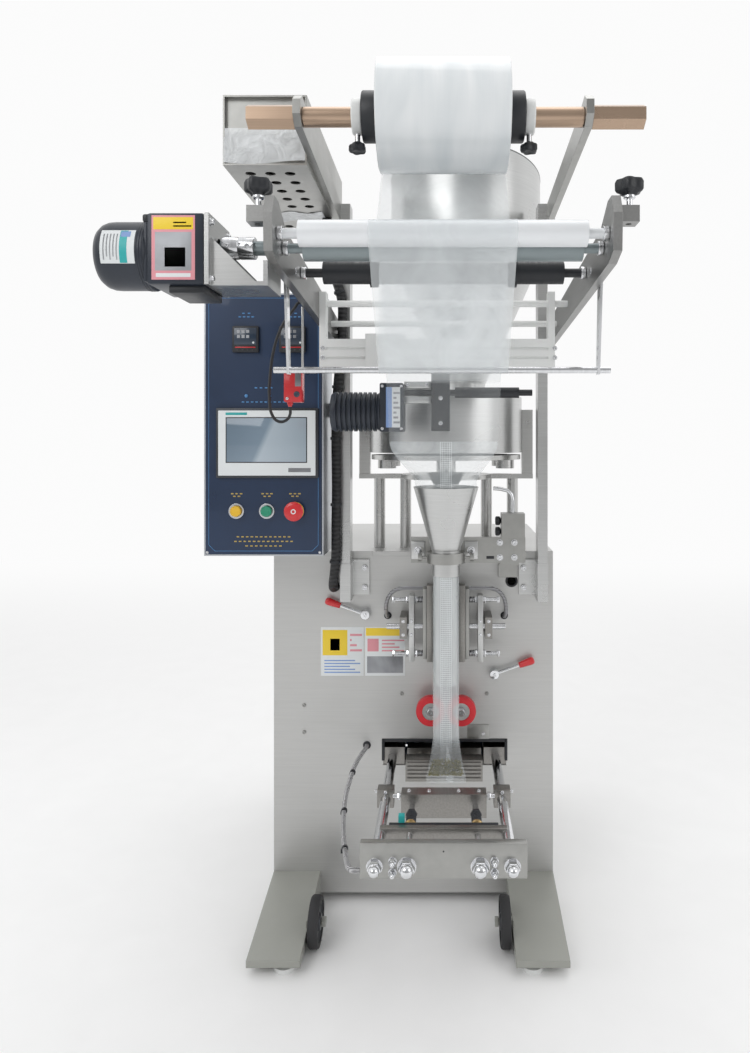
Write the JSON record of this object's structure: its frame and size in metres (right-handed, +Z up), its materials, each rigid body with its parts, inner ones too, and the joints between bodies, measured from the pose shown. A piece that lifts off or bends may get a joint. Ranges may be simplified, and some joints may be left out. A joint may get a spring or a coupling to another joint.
{
  "type": "vertical form fill sealer",
  "caption": "Upright bag former with film roll, guide rollers, hopper, forming tube, heated jaws, side control panel and footed cabinet.",
  "frame": {"origin": "on the floor under the middle of the machine's outline", "axes": "+Z up, the front faces -Y, +X to the right seen from the front"},
  "size_m": [0.787, 1.151, 1.611],
  "materials": {
    "stainless": "brushed",
    "cabinet": "fine metallic satin",
    "foot": "satin",
    "chrome": "polished",
    "white_alu": "white anodised",
    "grey_alu": "satin",
    "bronze_alu": "bronze anodised",
    "black_plastic": "moulded",
    "motor_black": "semi gloss",
    "panel_navy": "printed film",
    "panel_steel": "satin",
    "screen": "gloss",
    "yellow": "gloss",
    "green": "gloss",
    "red": "gloss",
    "red_rubber": "satin",
    "rubber": "matte",
    "film": "translucent",
    "film_roll": "wound film",
    "cord_black": "matte",
    "cord_silver": "braided",
    "jaw_steel": "ground",
    "bronze": "machined",
    "motor_blue": "satin"
  },
  "bodies": {
    "root": {"cabinet_shell": "cabinet", "rear_cover": "cabinet", "feet": "foot", "level_pads": "black_plastic", "frame_posts": "stainless", "roll_arms": "stainless", "side_bars": "stainless", "cross_bar": "white_alu", "upper_box": "stainless", "panel_box": "panel_steel", "panel_face": "panel_navy", "touch_screen": "screen", "heat_controllers": "black_plastic", "button_collars": "chrome", "hopper": "stainless", "feeder_drum": "stainless", "feeder_stand": "stainless", "coder_motor": "motor_black", "coder_plate": "black_plastic", "forming_set": "stainless", "collar_clamp": "stainless", "film_web": "film", "film_tube": "film", "film_motor": "motor_black", "motor_bracket": "stainless", "sealer_guides": "stainless", "rod_bushings": "bronze", "main_motor": "motor_blue", "photo_sensor": "red", "cable_bundle": "cord_black", "sensor_cable": "cord_black", "jaw_cable": "cord_silver", "sealer_cables": "cord_silver"},
    "wheel_left": {"wheel_left": "rubber"},
    "wheel_right": {"wheel_right": "rubber"},
    "yellow_button": {"yellow_button": "yellow"},
    "green_button": {"green_button": "green"},
    "stop_button": {"stop_button": "red"},
    "dosing_disc": {"dosing_disc": "stainless"},
    "coder_roller": {"coder_roller": "rubber"},
    "film_roll": {"roll_shaft": "bronze_alu", "roll_chucks": "black_plastic", "film_roll": "film_roll"},
    "front_roller": {"front_roller": "white_alu"},
    "driven_roller": {"driven_roller": "grey_alu"},
    "rubber_roller": {"rubber_roller": "rubber"},
    "dancer": {"dancer": "stainless"},
    "knob_left": {"knob_left": "black_plastic"},
    "knob_right": {"knob_right": "black_plastic"},
    "sealer_left": {"sealer_left": "jaw_steel"},
    "sealer_right": {"sealer_right": "jaw_steel"},
    "lever_left": {"lever_left": "red"},
    "lever_right": {"lever_right": "red"},
    "draw_left": {"draw_roller_left": "red_rubber"},
    "draw_right": {"draw_roller_right": "red_rubber"},
    "jaw_carriage": {"jaw_carriage": "stainless", "front_jaw": "jaw_steel"},
    "rear_jaw": {"rear_jaw": "jaw_steel"},
    "cam_shaft": {"cam_shaft": "chrome"}
  },
  "joints": [
    {"name": "wheel_left_spin", "type": "hinge", "parent": "root", "child": "wheel_left", "pos_m": [-0.166, -0.085, 0.0463], "axis": [1, 0, 0], "continuous": true},
    {"name": "wheel_right_spin", "type": "hinge", "parent": "root", "child": "wheel_right", "pos_m": [0.206, -0.085, 0.0463], "axis": [1, 0, 0], "continuous": true},
    {"name": "yellow_button_press", "type": "slide", "parent": "root", "child": "yellow_button", "axis": [0, 1, 0], "range_m": [0, 0.004], "stiffness_N_per_m": 300, "springref_m": -0.004},
    {"name": "green_button_press", "type": "slide", "parent": "root", "child": "green_button", "axis": [0, 1, 0], "range_m": [0, 0.004], "stiffness_N_per_m": 300, "springref_m": -0.004},
    {"name": "stop_button_press", "type": "slide", "parent": "root", "child": "stop_button", "axis": [0, 1, 0], "range_m": [0, 0.004], "stiffness_N_per_m": 600, "springref_m": -0.004},
    {"name": "disc_turn", "type": "hinge", "parent": "root", "child": "dosing_disc", "pos_m": [0.09, 0.112, 0.95], "axis": [0, 0, 1], "continuous": true},
    {"name": "coder_turn", "type": "hinge", "parent": "root", "child": "coder_roller", "pos_m": [0.09, -0.148, 1.082], "axis": [1, 0, 0], "continuous": true},
    {"name": "roll_turn", "type": "hinge", "parent": "root", "child": "film_roll", "pos_m": [0.09, -0.4, 1.491], "axis": [1, 0, 0], "continuous": true},
    {"name": "driven_turn", "type": "hinge", "parent": "root", "child": "driven_roller", "pos_m": [0.09, -0.507, 1.261], "axis": [1, 0, 0], "continuous": true},
    {"name": "front_turn", "type": "hinge", "parent": "root", "child": "front_roller", "pos_m": [0.09, -0.543, 1.272], "axis": [1, 0, 0], "continuous": true},
    {"name": "rubber_turn", "type": "hinge", "parent": "root", "child": "rubber_roller", "pos_m": [0.09, -0.376, 1.256], "axis": [1, 0, 0], "continuous": true},
    {"name": "dancer_swing", "type": "hinge", "parent": "root", "child": "dancer", "pos_m": [0.09, -0.418, 1.25], "axis": [1, 0, 0], "range_deg": [-8, 22], "deforming": ["film_web"]},
    {"name": "knob_left_turn", "type": "hinge", "parent": "root", "child": "knob_left", "pos_m": [-0.164, -0.545, 1.3], "axis": [0, 0, 1], "continuous": true},
    {"name": "knob_right_turn", "type": "hinge", "parent": "root", "child": "knob_right", "pos_m": [0.336, -0.545, 1.3], "axis": [0, 0, 1], "continuous": true},
    {"name": "sealer_left_close", "type": "slide", "parent": "root", "child": "sealer_left", "axis": [1, 0, 0], "range_m": [0, 0.0185]},
    {"name": "sealer_right_close", "type": "slide", "parent": "root", "child": "sealer_right", "axis": [1, 0, 0], "range_m": [-0.0185, 0]},
    {"name": "lever_left_turn", "type": "hinge", "parent": "root", "child": "lever_left", "pos_m": [-0.082, 0.052, 0.621], "axis": [0, 1, 0], "range_deg": [-25, 6]},
    {"name": "lever_right_turn", "type": "hinge", "parent": "root", "child": "lever_right", "pos_m": [0.193, 0.052, 0.494], "axis": [0, 1, 0], "range_deg": [-25, 25]},
    {"name": "draw_left_turn", "type": "hinge", "parent": "root", "child": "draw_left", "pos_m": [0.0584, 0.052, 0.427], "axis": [0, 1, 0], "continuous": true},
    {"name": "draw_right_turn", "type": "hinge", "parent": "root", "child": "draw_right", "pos_m": [0.1216, 0.052, 0.427], "axis": [0, 1, 0], "continuous": true},
    {"name": "carriage_close", "type": "slide", "parent": "root", "child": "jaw_carriage", "axis": [0, 1, 0], "range_m": [0, 0.085], "deforming": ["film_tube"]},
    {"name": "rear_jaw_close", "type": "slide", "parent": "root", "child": "rear_jaw", "axis": [0, 1, 0], "range_m": [-0.026, 0]},
    {"name": "cam_turn", "type": "hinge", "parent": "root", "child": "cam_shaft", "pos_m": [0.09, 0.362, 0.26], "axis": [1, 0, 0], "continuous": true}
  ],
  "couplings": [
    {"joint": "front_turn", "follows": "driven_turn", "ratio": -1},
    {"joint": "draw_right_turn", "follows": "draw_left_turn", "ratio": -1},
    {"joint": "sealer_right_close", "follows": "sealer_left_close", "ratio": -1},
    {"joint": "rear_jaw_close", "follows": "carriage_close", "ratio": -0.30588}
  ]
}
